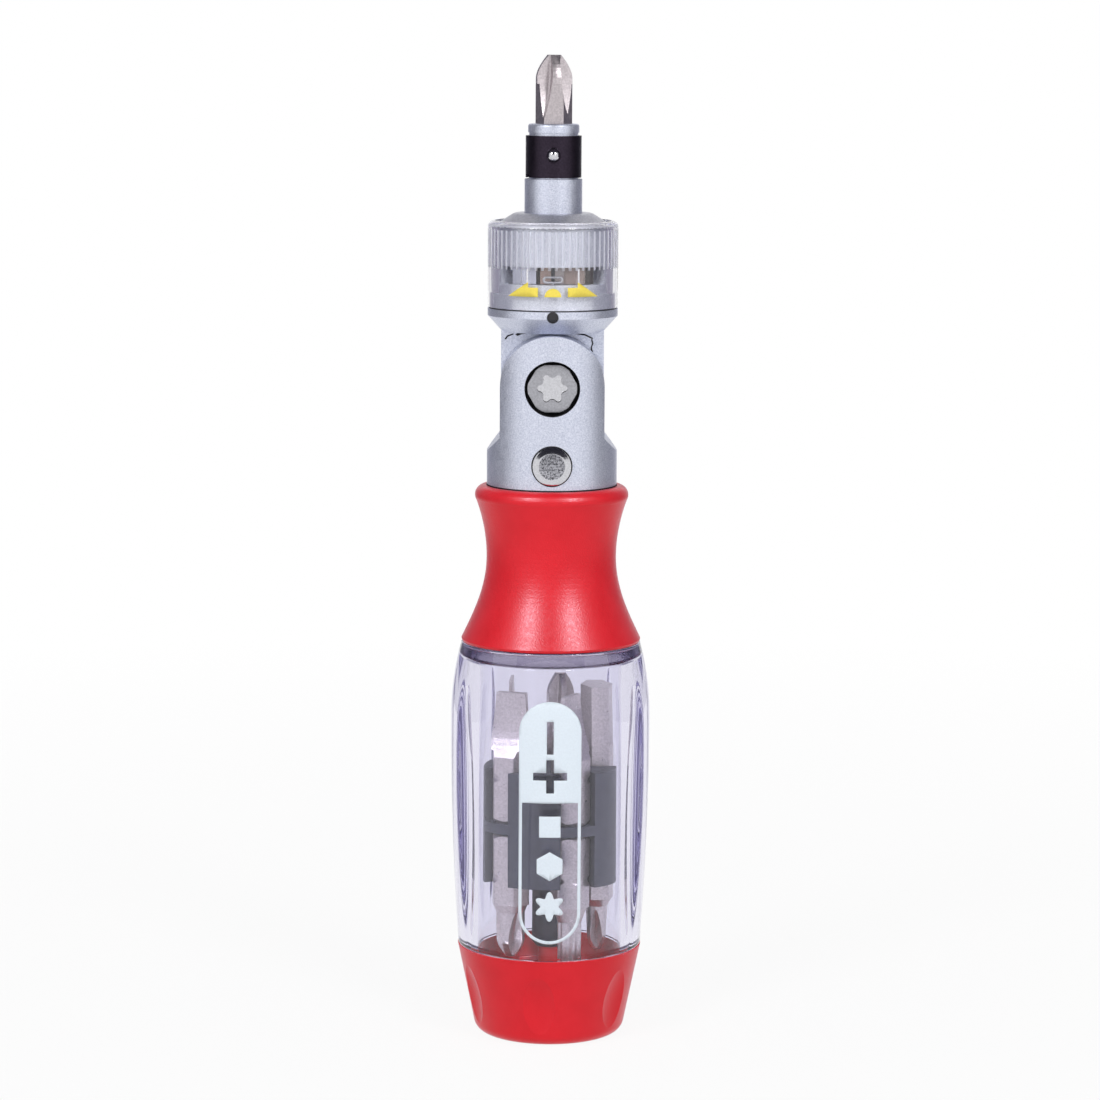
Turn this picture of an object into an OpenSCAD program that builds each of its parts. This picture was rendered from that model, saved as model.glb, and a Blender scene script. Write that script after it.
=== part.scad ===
// Ratcheting screwdriver: a clear handle with a drawer of bits in it, a red collar, a head that
// tilts on a fork and locks with a button, a reversible ratchet in a clear selector ring, and a
// quick-change chuck. Sizes are in millimetres. +Z runs up the shaft from the foot of the end cap,
// and the front of the tool, with its lock button, faces -Y. Angles round the shaft are counted
// from the front, positive towards +X.

/* [End cap] */
// height of the cap, up to its joint with the handle
cap_h = 17.9; // [16:0.1:20]
// step in from the handle's widest radius to the radius at that joint
cap_step = 1.58; // [1:0.01:2.2]
// growth of the cap's radius for each millimetre of height
cap_flare = 0.207; // [0.15:0.001:0.23]
// rounding round the foot
cap_round = 2.6; // [1.5:0.1:3.5]
// thickness of the floor
cap_floor = 2.4; // [1.8:0.1:3]
// thickness of the side wall at the floor
cap_wall = 2.04; // [1.6:0.02:2.4]
// number of finger flutes
cap_flutes = 6; // [4:1:8]
// turn of the first finger flute away from the front
cap_flute_turn = -7; // [-30:1:30]
// middle height of the finger flutes
cap_flute_z = 8.5; // [7.5:0.1:9.5]
// height of a finger flute
cap_flute_h = 12; // [9:0.1:13]
// width of a finger flute
cap_flute_w = 6.4; // [5:0.1:7.5]
// depth of a finger flute
cap_flute_d = 0.8; // [0.4:0.05:1]
// radius of the post that carries the drawer of bits
post_r = 2.2; // [1.6:0.1:2.6]
// length of the post inside the drawer's stem
post_in = 7.9; // [5:0.1:10]

/* [Clear handle] */
// height of the clear handle that shows
handle_h = 61.1; // [57:0.1:66]
// radius at the widest place
belly_r = 19.83; // [19:0.01:21]
// height of the widest place above the cap
belly_at = 45.8; // [40:0.1:50]
// step in from the widest radius to the radius at the collar
top_step = 2.08; // [1.4:0.01:2.8]
// share of the widest radius that the drawer's bore takes
bore_share = 0.716; // [0.712:0.001:0.73]
// thickness of the solid end above the bore
end_wall = 3.4; // [2.5:0.1:5]
// place of the spigot's outside between the bore, at 0, and the cap's outside, at 1
spigot_share = 0.305; // [0.25:0.005:0.4]
// length of that spigot
spigot_h = 5; // [3.5:0.1:5.5]
// radius of the neck that goes up into the collar
neck_r = 10; // [8:0.1:10.5]
// length of that neck
neck_h = 20; // [16:0.1:22]
// turn of the grip flutes from the front, and again from the back
grip_turn = 60; // [50:1:65]
// lowest point of a grip flute above the cap
grip_low = 3.1; // [2:0.1:8]
// gap left between a grip flute's upper end and the collar
grip_end = 6.5; // [4:0.1:10]
// width of a grip flute
grip_w = 7; // [5:0.1:9]
// depth of a grip flute
grip_d = 1.75; // [1:0.05:2.2]

/* [Collar] */
// height of the collar
collar_h = 31; // [29:0.1:33]
// radius at the narrowest place
waist_r = 12.79; // [12.4:0.01:13.5]
// height of the narrowest place above the handle
waist_at = 16.8; // [15:0.1:18]
// radius at the top bead
rim_r = 15.14; // [14.9:0.01:15.6]
// roundness of the top bead
bead_r = 1.9; // [1.5:0.05:2]

/* [Fork] */
// radius of the fork's base
fork_r = 12.8; // [12.6:0.05:13]
// depth of the base inside the collar
fork_seat = 3; // [2.5:0.1:3.5]
// height of the base above the collar
fork_base_h = 6.9; // [6.6:0.1:7.2]
// height of the sloping shoulder above the base
shoulder_h = 3.1; // [2.8:0.1:3.3]
// half width of the cheeks, and the radius of their round tops
cheek_r = 10.2; // [9.9:0.05:10.4]
// height of the tilt pivot above the collar
pivot_at = 20; // [19.9:0.05:20.4]
// half width of the slot between the cheeks
slot_y = 4; // [3.6:0.05:4.4]
// radius of the tang inside the handle's neck
tang_r = 4; // [3:0.1:5]
// width over the tang's two flats
tang_flat = 6.4; // [5:0.1:7]
// length of the tang below the base
tang_h = 23; // [18:0.1:24]

/* [Tilt pivot] */
// radius of the pivot screw's shank
pivot_r = 3; // [2.5:0.05:3.5]
// radius of the pivot screw's head
pivot_head_r = 4.8; // [4.2:0.05:5]
// thickness of the head
pivot_head_h = 2.4; // [1.8:0.1:2.8]
// radius of the recess round the head
recess_r = 5.4; // [5.2:0.05:5.8]
// depth of the recess
recess_h = 4.1; // [3.5:0.1:4.6]
// reach of the star socket's points
star_r = 2.95; // [2.4:0.05:3.2]
// radius of the washers beside the tongue
washer_r = 5.2; // [4.5:0.1:6]
// thickness of a washer
washer_h = 0.4; // [0.3:0.05:0.6]

/* [Tilt lock] */
// height of the button above the collar
button_at = 5; // [4.9:0.05:5.2]
// radius of the button
button_r = 3.75; // [3.5:0.05:3.8]
// radius of the button's flat face
button_face_r = 2.55; // [2:0.05:3]
// how far the button's face stands out of the fork
button_out = 0.7; // [0.4:0.05:1]
// length of the button
button_l = 17; // [16:0.1:18]
// travel of the button, and of the bolt that it draws
lock_travel = 2; // [1.5:0.1:2.1]
// radius of the lock bolt
bolt_r = 2.2; // [2:0.05:2.3]
// radius of the bolt's nose
bolt_nose_r = 1.6; // [1.3:0.05:1.7]
// length of the lock bolt
bolt_l = 8.7; // [8:0.1:9]
// radius of the cross pin in the bolt
bolt_pin_r = 0.7; // [0.5:0.05:0.8]
// step between the tilt notches
notch_step = 30; // [30:15:45]
// depth of a tilt notch
notch_d = 1.4; // [1:0.1:2]

/* [Ratchet head] */
// half thickness of the tongue in the fork
tongue_y = 3.5; // [3:0.05:3.55]
// radius of the round end of the tongue
tongue_r = 10.05; // [9.5:0.05:10.05]
// height of the base ring's slope
ring_slope_h = 3; // [2.6:0.1:3.4]
// radius of the base ring
ring_r = 12.75; // [12.5:0.05:12.9]
// height of the base ring's straight edge
ring_edge_h = 1.4; // [1.2:0.1:1.8]
// radius of the index plug
plug_r = 1.05; // [0.9:0.05:1.2]
// radius of the spigot that guides the selector
guide_r = 11.6; // [11.4:0.05:11.7]
// height of that spigot
guide_h = 3.1; // [2.8:0.1:3.4]
// radius of the ratchet drum
drum_r = 10.6; // [10.4:0.05:10.8]
// height of the pawl pocket's floor above the base ring
pocket_at = 5.1; // [4.8:0.1:5.4]
// height of the pawl pocket
pocket_h = 3.4; // [3:0.1:3.8]
// half angle of the pawl pocket
pocket_half = 60; // [58:1:66]

/* [Ratchet] */
// number of ratchet teeth
teeth = 36; // [36:12:48]
// tip radius of the ratchet wheel
gear_r = 6.6; // [6.5:0.05:6.65]
// depth of the teeth
tooth_d = 0.7; // [0.6:0.05:0.75]
// distance of the pawl pins from the shaft
pawl_pin_at = 8.5; // [8.4:0.05:8.6]
// angle of the pawl pins from the front
pawl_pin_turn = 34; // [33:1:35]
// radius of a pawl pin
pawl_pin_r = 0.7; // [0.5:0.05:0.75]
// turn of a pawl from resting clear to seated in a tooth gap
pawl_swing = 10; // [9:0.5:11]
// gap left between a seated pawl and the bottom of its tooth gap
pawl_seat_gap = 0.16; // [0.12:0.02:0.25]

/* [Selector ring] */
// outer radius
selector_r = 12.77; // [12.6:0.01:13]
// height
selector_h = 16.8; // [16:0.1:17.2]
// rounding of the top edge
selector_round = 1.3; // [0.8:0.1:1.4]
// number of grip grooves
grooves = 60; // [40:4:72]
// height of the grooves' lower ends above the ring's foot
groove_at = 7.7; // [7:0.1:9]
// turn of the selector each way from the middle
selector_turn = 25; // [20:1:25]
// angle of its two cams from the front
cam_turn = 30; // [29:1:31]
// inner radius of the cams
cam_r = 9.95; // [9.9:0.05:10.2]

/* [Dome cover] */
// radius of the cover's rim
dome_r = 11.3; // [11.1:0.05:11.35]
// radius at the top of the slope
dome_top_r = 7.45; // [6.8:0.05:8]
// height of the cover above the selector ring
dome_h = 1.5; // [1.2:0.1:2.2]
// height of the bush that the spindle runs in
bush_h = 4.4; // [3.5:0.1:4.8]
// thickness of the washer under the bush
thrust_h = 0.8; // [0.5:0.1:1]

/* [Chuck] */
// radius of the spindle's sleeve
sleeve_r = 5.64; // [5.5:0.02:5.7]
// height of the bare sleeve above the cover
sleeve_h = 6.6; // [5:0.1:8]
// outer radius of the black spring band
band_r = 5.46; // [5.35:0.01:5.6]
// thickness of the band
band_t = 0.6; // [0.5:0.05:0.7]
// height of the band
band_h = 8.1; // [6.5:0.1:9]
// height of the band's hole above the band's foot
band_hole_at = 4.4; // [3.6:0.1:5.4]
// radius of the band's hole at the outside
band_hole_r = 1.6; // [1.4:0.05:1.8]
// radius of the nose of the chuck
nose_r = 5; // [4.9:0.02:5.1]
// height of the nose
nose_h = 1.7; // [1.4:0.1:2.2]
// radius of the retaining ball
ball_r = 1.35; // [1.2:0.05:1.45]
// width across the flats of the hex socket
socket_af = 6.42; // [6.4:0.01:6.5]
// depth of the hex socket
socket_h = 11.8; // [10:0.1:12.4]

/* [Bits] */
// width across the flats of a bit's shank
bit_af = 6.3; // [6.25:0.01:6.35]
// width over the shank's rounded corners
bit_corner = 7.14; // [7:0.01:7.2]
// length of a bit
bit_l = 25; // [24.5:0.1:25.4]
// length of a stored bit's hex shank
shank_l = 14.5; // [12:0.1:16]
// height of the corner notches above the shank's end
bit_notch_at = 9; // [8:0.1:10]

/* [Bit drawer] */
// bits in each layer
pockets = 5; // [4:1:5]
// angle of the first bit from the front
first_bit = -49; // [-60:1:-30]
// place of the bits between the shaft, at 0, and the bore's wall, at 1
ring_share = 0.676; // [0.665:0.001:0.685]
// gap left between the upper bits' tips and the end of the bore
drawer_gap = 6.5; // [5:0.1:7]
// thickness of that web
web_h = 2; // [1.6:0.1:2.4]
// depth of a pocket
pocket_depth = 10.4; // [8:0.1:12]
// radius of the ribs between the pockets, as a share of the bore's
rib_share = 0.93; // [0.915:0.005:0.96]
// radius of the drawer's stem
stem_r = 3.4; // [3:0.1:4]
// length of the stem below the pockets
stem_h = 13.6; // [12:0.1:14]

/* [Clearances] */
// gap round a shaft that turns or slides in a hole
run_gap = 0.05; // [0.03:0.01:0.08]
// gap round a piece that is seated for good
seat_gap = 0.1; // [0.05:0.01:0.15]
// gap between pieces that pass each other
free_gap = 0.3; // [0.25:0.01:0.35]

/* [Hidden] */
$fn = 96;

RED = [0.85, 0.17, 0.2];
CLEAR = [0.86, 0.85, 0.94, 0.45];
STEEL = [0.76, 0.77, 0.82];
DARK_STEEL = [0.5, 0.5, 0.53];
PAWL_STEEL = [0.5, 0.42, 0.36];
BIT_STEEL = [0.62, 0.6, 0.62];
SLATE = [0.32, 0.33, 0.38];
BLACK = [0.12, 0.11, 0.13];
BRONZE = [0.72, 0.55, 0.3];

// radii that follow the handle's widest radius
cap_r = belly_r - cap_step;
handle_top_r = belly_r - top_step;
bore_r = belly_r * bore_share;
bit_ring = bore_r * ring_share;
rib_r = bore_r * rib_share;
spigot_r = bore_r + (cap_r - bore_r) * spigot_share;
well_r = cap_r - (cap_h - cap_floor) * cap_flare - cap_wall;

// heights of the joints up the tool
handle_z = cap_h + run_gap;
collar_z = cap_h + handle_h;
belly_z = cap_h + belly_at;
ceiling_z = collar_z - end_wall;
spigot_z = cap_h - spigot_h;
collar_top = collar_z + collar_h;
waist_z = collar_z + waist_at;
fork_z = collar_top - fork_seat;
shoulder_z = collar_top + fork_base_h;
pivot_z = collar_top + pivot_at;
floor_z = pivot_z - tongue_r - free_gap;
button_z = collar_top + button_at;
ring_z = pivot_z + cheek_r + free_gap;
ring_edge_z = ring_z + ring_slope_h;
ring_top = ring_edge_z + ring_edge_h;
plug_z = ring_edge_z + ring_edge_h / 4;
guide_top = ring_top + guide_h;
pocket_z = ring_top + pocket_at;
drum_top = pocket_z + pocket_h;
selector_z = ring_top + free_gap;
selector_top = selector_z + selector_h;
dome_z = selector_top - 1.2;
sleeve_z = selector_top + dome_h;
band_z = sleeve_z + sleeve_h + free_gap;
nose_z = band_z + band_h + 0.6;
chuck_top = nose_z + nose_h;
socket_z = chuck_top - socket_h;

// sizes that follow from the ones above
neck_top = collar_z + neck_h;
neck_under_band = band_r - band_t - run_gap;
bit_z = socket_z + seat_gap;
bit_r = bit_corner / 2;
hole_z = band_z + band_hole_at;
ball_at = bit_af / 2 + 0.07 + ball_r;
button_y = -fork_r - button_out;
button_end = button_y + button_l;
button_bore_end = button_end + 5.8;
bolt_z = floor_z + run_gap - bolt_l;
pin_z = button_z + lock_travel / 2;
grip_len = handle_h - grip_low - grip_end;
web_z = ceiling_z - drawer_gap - bit_l - web_h;
layer_top = web_z + web_h;
stem_z = web_z - pocket_depth - stem_h;
post_h = stem_z + post_in;
bit_step = 360 / pockets;
thrust_z = drum_top + seat_gap;
bush_z = thrust_z + thrust_h + seat_gap;

function arc_points(c, r, a0, a1, n) =
    [for (i = [0:n]) c + r * [cos(a0 + (a1 - a0) * i / n), sin(a0 + (a1 - a0) * i / n)]];
function turned(p, a) = [p[0] * cos(a) - p[1] * sin(a), p[0] * sin(a) + p[1] * cos(a)];
function hex_corner(af) = af / sqrt(3);

// radius of a round scoop of this width and depth in a round body
function scoop_r(width, depth, body) = 1 / (8 * depth / (width * width) - 1 / body);

function cap_radius(z) = cap_r - (cap_h - z) * cap_flare;
function handle_radius(z) =
    z < belly_z
        ? belly_r - (belly_r - cap_r) * pow((belly_z - z) / belly_at, 2)
        : belly_r - (belly_r - handle_top_r) * pow((z - belly_z) / (collar_z - belly_z), 2);
function collar_radius(z) =
    let (down = (waist_z - z) / waist_at, up = z - waist_z)
        z < waist_z
            ? waist_r + (handle_top_r + 0.25 - waist_r) * (1.21 * pow(down, 2) - 0.21 * pow(down, 4))
            : waist_r + 0.0162 * up * up;

// round the shaft: a place at this angle from the front and this distance from the axis
module round_at(a, r = 0, z = 0) {
    rotate([0, 0, a])
        translate([0, -r, z])
            children();
}

// a sector of a turned section, centred on this angle from the front
module sector(a, half) {
    rotate([0, 0, a - half - 90])
        rotate_extrude(angle = 2 * half)
            children();
}

module disc(r, z0, z1, hole = 0) {
    difference() {
        translate([0, 0, z0])
            cylinder(r = r, h = z1 - z0);
        if (hole > 0)
            translate([0, 0, z0 - 1])
                cylinder(r = hole, h = z1 - z0 + 2);
    }
}

// a bar along Y between two places
module bar_y(r, y0, y1, z) {
    translate([0, y0, z])
        rotate([-90, 0, 0])
            cylinder(r = r, h = y1 - y0);
}

// a flat outline in X and Z, with this thickness along Y
module plate_xz(thick) {
    rotate([90, 0, 0])
        linear_extrude(thick, center = true)
            children();
}

// six round points, as on a star screw
module star_outline(reach) {
    difference() {
        union() {
            circle(r = reach * 0.86);
            for (i = [0:5])
                rotate(60 * i)
                    translate([reach * 0.78, 0])
                        circle(r = reach * 0.22);
        }
        for (i = [0:5])
            rotate(60 * i + 30)
                translate([reach * 1.02, 0])
                    circle(r = reach * 0.3);
    }
}

// points along a coil that runs up +Z
function coil_path(r, length, turns, steps) =
    [for (i = [0:turns * steps])
        [r * cos(360 * i / steps), r * sin(360 * i / steps), length * i / (turns * steps)]];
function coil_gap(path, wire, steps) =
    min([for (i = [0:len(path) - 1], j = [i + steps / 2:1:len(path) - 1]) norm(path[i] - path[j])])
    - wire;

module coil(r, wire, length, turns, steps, sides) {
    path = coil_path(r, length - wire, turns, steps);
    last = len(path) - 1;
    points = [for (i = [0:last], j = [0:sides - 1])
        let (a = 360 * i / steps, b = 360 * j / sides, reach = r + wire / 2 * cos(b))
            [reach * cos(a), reach * sin(a), path[i][2] + wire / 2 + wire / 2 * sin(b)]];
    near = [for (i = [0:last - 1], j = [0:sides - 1])
        [i * sides + j, (i + 1) * sides + j, i * sides + (j + 1) % sides]];
    far = [for (i = [0:last - 1], j = [0:sides - 1])
        [i * sides + (j + 1) % sides, (i + 1) * sides + j, (i + 1) * sides + (j + 1) % sides]];
    start = [[for (j = [0:sides - 1]) j]];
    end = [[for (j = [sides - 1:-1:0]) last * sides + j]];
    echo("least gap between the turns, in mm", coil_gap(path, wire, steps));
    polyhedron(points, concat(near, far, start, end));
}

// end cap

module cap_flute_cutter() {
    body = cap_radius(cap_flute_z);
    axis = body - cap_flute_d + scoop_r(cap_flute_w, cap_flute_d, body);
    reach = cap_flute_h / 2 + 0.5;
    outline = [for (i = [0:20])
        let (z = reach * (i / 10 - 1), depth = cap_flute_d * (1 - pow(2 * z / cap_flute_h, 2)))
            [axis - cap_radius(cap_flute_z + z) + depth, cap_flute_z + z]];
    translate([0, -axis, 0])
        rotate_extrude()
            polygon(concat([[0, outline[0][1]]], outline, [[0, outline[20][1]]]));
}

module end_cap() {
    lean = atan(cap_flare);
    foot_r = cap_radius(cap_round) - cap_round / cos(lean);
    seat_z = spigot_z - free_gap;
    color(RED)
        difference() {
            rotate_extrude()
                polygon(concat(
                    [[0, 0]],
                    arc_points([foot_r, cap_round], cap_round, -90, -lean, 10),
                    [[cap_r, cap_h], [spigot_r + seat_gap, cap_h], [spigot_r + seat_gap, seat_z]],
                    [[well_r, seat_z], [well_r, cap_floor], [post_r, cap_floor]],
                    [[post_r, post_h], [0, post_h]]
                ));
            for (i = [0:cap_flutes - 1])
                round_at(cap_flute_turn + 360 * i / cap_flutes)
                    cap_flute_cutter();
        }
}

// clear handle

// a turned body that swells along a long arc from one end up to its widest place
module bow(z_wide, r_wide, z_end, r_end) {
    run = abs(z_end - z_wide);
    drop = r_wide - r_end;
    bend = (run * run + drop * drop) / (2 * drop);
    rotate_extrude()
        intersection() {
            translate([r_wide - bend, z_wide])
                circle(r = bend, $fn = 720);
            translate([0, min(z_wide, z_end)])
                square([r_wide + 1, run]);
        }
}

// a long barrel whose side leaves the handle's surface at both ends of the flute
module grip_flute_cutter() {
    low = cap_h + grip_low;
    high = low + grip_len;
    middle = (low + high) / 2;
    depth_r = handle_radius(middle) - grip_d;
    rise = (handle_radius(low) - depth_r) / (middle - low);
    fall = (depth_r - handle_radius(high)) / (high - middle);
    curve = (rise - fall) / grip_len;
    deepest_z = (low + middle) / 2 + rise / (2 * curve);
    deepest_r = depth_r - curve * pow(middle - deepest_z, 2);
    axis = depth_r + scoop_r(grip_w, grip_d, handle_radius(middle));
    bend = 1 / (2 * curve);
    translate([0, -axis, 0])
        rotate_extrude()
            intersection() {
                translate([axis - deepest_r - bend, deepest_z])
                    circle(r = bend, $fn = 720);
                translate([0, low - 1.5])
                    square([axis, grip_len + 3]);
            }
}

module tang(gap, z0, z1) {
    intersection() {
        disc(tang_r + gap, z0, z1);
        translate([0, 0, (z0 + z1) / 2])
            cube([tang_flat + 2 * gap, 4 * tang_r, z1 - z0 + 1], center = true);
    }
}

module handle_body() {
    color(CLEAR)
        difference() {
            union() {
                bow(belly_z, belly_r, handle_z, cap_r);
                bow(belly_z, belly_r, collar_z, handle_top_r);
                disc(spigot_r, spigot_z, handle_z + 1);
                disc(neck_r, collar_z - 1, neck_top);
            }
            disc(bore_r, spigot_z - 1, ceiling_z);
            for (turn = [-1, 1], base = [0, 180])
                round_at(base + turn * grip_turn)
                    grip_flute_cutter();
            tang(run_gap, fork_z - tang_h - free_gap, neck_top + 1);
        }
}

// collar

module collar() {
    foot_z = collar_z + run_gap;
    arc_z = collar_top - bead_r * 1.95;
    flank = [for (i = [0:28]) let (z = foot_z + 0.5 + (arc_z - foot_z - 0.5) * i / 28) [collar_radius(z), z]];
    bead_c = [rim_r - bead_r, collar_top - bead_r];
    bore = fork_r + seat_gap;
    color(RED)
        rotate_extrude()
            polygon(concat(
                [[neck_r + seat_gap, foot_z], [collar_radius(foot_z) - 0.45, foot_z]],
                flank,
                arc_points(bead_c, bead_r, -30, 90, 12),
                [[bore, collar_top], [bore, fork_z], [tang_r + seat_gap, fork_z]],
                [[tang_r + seat_gap, neck_top + free_gap], [neck_r + seat_gap, neck_top + free_gap]]
            ));
}

// fork

module fork_outline() {
    slope_top = shoulder_z + shoulder_h;
    polygon(concat(
        [[-fork_r, fork_z], [fork_r, fork_z], [fork_r, shoulder_z], [cheek_r, slope_top]],
        arc_points([0, pivot_z], cheek_r, 0, 180, 36),
        [[-cheek_r, slope_top], [-fork_r, shoulder_z]]
    ));
}

module fork() {
    color(STEEL)
        difference() {
            union() {
                intersection() {
                    disc(fork_r, fork_z, pivot_z + cheek_r + 1);
                    plate_xz(4 * fork_r)
                        fork_outline();
                }
                tang(0, fork_z - tang_h, fork_z + 1);
            }
            translate([-2 * fork_r, -slot_y, floor_z])
                cube([4 * fork_r, 2 * slot_y, 2 * fork_r]);
            bar_y(recess_r, -fork_r - 1, recess_h - fork_r, pivot_z);
            bar_y(pivot_r + run_gap, -fork_r, fork_r + 1, pivot_z);
            bar_y(button_r + run_gap, -fork_r - 1, button_bore_end, button_z);
            disc(bolt_r + run_gap, bolt_z - lock_travel - free_gap, floor_z + 1);
        }
}

// tilt pivot

module pivot_screw() {
    head_y = recess_h - fork_r - pivot_head_h;
    color(DARK_STEEL)
        difference() {
            union() {
                bar_y(pivot_r, recess_h - fork_r - 1, fork_r - 1.2, pivot_z);
                translate([0, head_y + pivot_head_h - run_gap, pivot_z])
                    rotate([90, 0, 0])
                        linear_extrude(pivot_head_h - run_gap)
                            intersection() {
                                circle(r = pivot_head_r);
                                circle(r = pivot_head_r * 1.1, $fn = 6);
                            }
            }
            translate([0, head_y + 1.6, pivot_z])
                rotate([90, 0, 0])
                    linear_extrude(2)
                        star_outline(star_r);
        }
}

module pivot_washers() {
    color(BRONZE)
        for (side = [-1, 1])
            translate([0, side * (slot_y - run_gap - washer_h / 2), pivot_z])
                rotate([90, 0, 0])
                    translate([0, 0, -washer_h / 2])
                        disc(washer_r, 0, washer_h, pivot_r + run_gap);
}

// tilt lock

// the sloping slot that moves the bolt's cross pin down as the button goes in
module lock_slot() {
    slot_w = bolt_pin_r + run_gap;
    high = [0, pin_z];
    low = [-lock_travel, pin_z - lock_travel];
    rotate([90, 0, 90])
        linear_extrude(4 * button_r, center = true)
            polygon(concat(arc_points(high, slot_w, -45, 135, 12), arc_points(low, slot_w, 135, 315, 12)));
}

module lock_button() {
    window_x = bolt_r + seat_gap;
    slope_h = (button_r - button_face_r) * 0.38;
    color(STEEL)
        difference() {
            union() {
                bar_y(button_r, button_y + slope_h, button_end, button_z);
                translate([0, button_y, button_z])
                    rotate([-90, 0, 0])
                        cylinder(r1 = button_face_r, r2 = button_r, h = slope_h);
            }
            translate([-window_x, -window_x - lock_travel, button_z - 2 * button_r])
                cube([2 * window_x, 2 * window_x + lock_travel, 4 * button_r]);
            lock_slot();
        }
}

module lock_bolt() {
    color(DARK_STEEL)
        difference() {
            union() {
                disc(bolt_r, bolt_z, bolt_z + bolt_l - 2);
                disc(bolt_nose_r, bolt_z + bolt_l - 3, bolt_z + bolt_l);
            }
            translate([-2 * bolt_r, 0, pin_z])
                rotate([0, 90, 0])
                    cylinder(r = bolt_pin_r + 0.01, h = 4 * bolt_r);
        }
}

module bolt_pin() {
    half = sqrt(pow(button_r, 2) - pow(lock_travel / 2 + bolt_pin_r, 2)) - 0.15;
    color(STEEL)
        translate([-half, 0, pin_z])
            rotate([0, 90, 0])
                cylinder(r = bolt_pin_r, h = 2 * half);
}

module button_spring() {
    gap = 0.1;
    color(STEEL)
        translate([0, button_end + gap, button_z])
            rotate([-90, 0, 0])
                coil(2.6, 0.5, button_bore_end - button_end - 2 * gap, 5, 12, 6);
}

// ratchet head

module base_ring(shrink) {
    rotate_extrude()
        polygon([
            [0, ring_z], [tongue_r - shrink, ring_z], [ring_r - shrink, ring_edge_z],
            [ring_r - shrink, ring_top], [0, ring_top]
        ]);
}

module tongue() {
    plate_xz(2 * tongue_y)
        polygon(concat(
            arc_points([0, pivot_z], tongue_r, 180, 360, 36),
            [[tongue_r, ring_z + 0.5], [-tongue_r, ring_z + 0.5]]
        ));
}

module ratchet_housing() {
    journal_r = sleeve_r - 2.1;
    notches = floor(90 / notch_step);
    color(STEEL)
        difference() {
            union() {
                tongue();
                base_ring(0);
                disc(guide_r, ring_top - 1, guide_top);
                disc(drum_r, ring_top - 1, drum_top);
            }
            bar_y(pivot_r + run_gap, -2 * tongue_y, 2 * tongue_y, pivot_z);
            for (i = [-notches:notches])
                translate([0, 0, pivot_z])
                    rotate([0, i * notch_step, 0])
                        translate([0, 0, -tongue_r - 1])
                            cylinder(r = bolt_nose_r + seat_gap, h = notch_d + 1);
            disc(journal_r + run_gap, ring_z + 2.2, drum_top);
            disc(gear_r + 0.2, pocket_z - seat_gap, drum_top + 1);
            sector(0, pocket_half)
                translate([gear_r - 0.6, pocket_z])
                    square([drum_r, pocket_h + 1]);
            bar_y(plug_r + seat_gap, -ring_r - 1, -ring_r + 2.6, plug_z);
            for (side = [-1, 1])
                round_at(side * pawl_pin_turn, pawl_pin_at)
                    disc(pawl_pin_r + 0.02, pocket_z - 1.6, pocket_z + 1);
            spring_foot(0.05);
            bar_y(detent_r + run_gap, detent_y - detent_r - detent_spring_l, guide_r + 1, detent_z);
        }
}

module index_plug() {
    color(BLACK)
        intersection() {
            bar_y(plug_r, -ring_r - 1, -ring_r + 2.5, plug_z);
            base_ring(0.12);
        }
}

// the ball and spring behind the guide spigot that hold the selector's three settings
detent_r = 0.95;
detent_y = guide_r + 0.05 - detent_r;
detent_z = ring_top + guide_h / 2;
detent_spring_l = 3;

module detent_ball() {
    color(STEEL)
        translate([0, detent_y, detent_z])
            sphere(r = detent_r);
}

module detent_spring() {
    color(STEEL)
        translate([0, detent_y - detent_r - detent_spring_l + 0.05, detent_z])
            rotate([-90, 0, 0])
                coil(0.65, 0.3, detent_spring_l - 0.1, 3, 10, 5);
}

module dome_cover() {
    bush_seat = bush_z + bush_h + seat_gap;
    crown = [
        [dome_r, selector_top - 0.8], [dome_r - 0.5, selector_top - 0.5],
        [dome_top_r + 0.35, sleeve_z - 0.15], [dome_top_r - 0.1, sleeve_z]
    ];
    color(DARK_STEEL)
        difference() {
            rotate_extrude()
                polygon(concat(
                    [[gear_r + 0.2, drum_top + 0.02], [drum_r, drum_top + 0.02], [drum_r, dome_z]],
                    [[dome_r, dome_z]],
                    crown,
                    [[sleeve_r + seat_gap, sleeve_z], [sleeve_r + seat_gap, bush_seat]],
                    [[gear_r + 0.2, bush_seat]]
                ));
            for (side = [-1, 1])
                round_at(side * pawl_pin_turn, pawl_pin_at)
                    disc(pawl_pin_r + 0.02, drum_top - 1, drum_top + 1.6);
        }
}

module thrust_washer() {
    color(STEEL)
        disc(gear_r + 0.1, thrust_z, thrust_z + thrust_h, sleeve_r + run_gap);
}

module spindle_bush() {
    color(BRONZE)
        disc(gear_r + 0.18, bush_z, bush_z + bush_h, sleeve_r + run_gap);
}

// pawls, drawn seated in a tooth gap and then turned back to their resting place

gap_turn = 180 / teeth;
gap_r = gear_r - tooth_d;
pawl_pin_p = pawl_pin_at * [sin(pawl_pin_turn), cos(pawl_pin_turn)];
pawl_tip = (gap_r + pawl_seat_gap) * [sin(gap_turn), cos(gap_turn)] - pawl_pin_p;

// the right pawl round its pin, with x to the right and y towards the front
module pawl_blank(high) {
    tip = turned(pawl_tip, -pawl_swing);
    cylinder(r = 1.25, h = high);
    linear_extrude(high)
        polygon([
            [0.2, -0.9], [-1.9, -0.35], tip + [0.75, 0.55], tip, tip + [-0.1, 0.75],
            tip + [-0.02, 1.3], [-2.4, 1.2], [0.2, 0.95]
        ]);
    linear_extrude(high)
        polygon([[-0.3, 0.9], [0.75, 1], [2.6, -0.3], [2.3, -1], [-0.3, -0.8]]);
}

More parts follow.
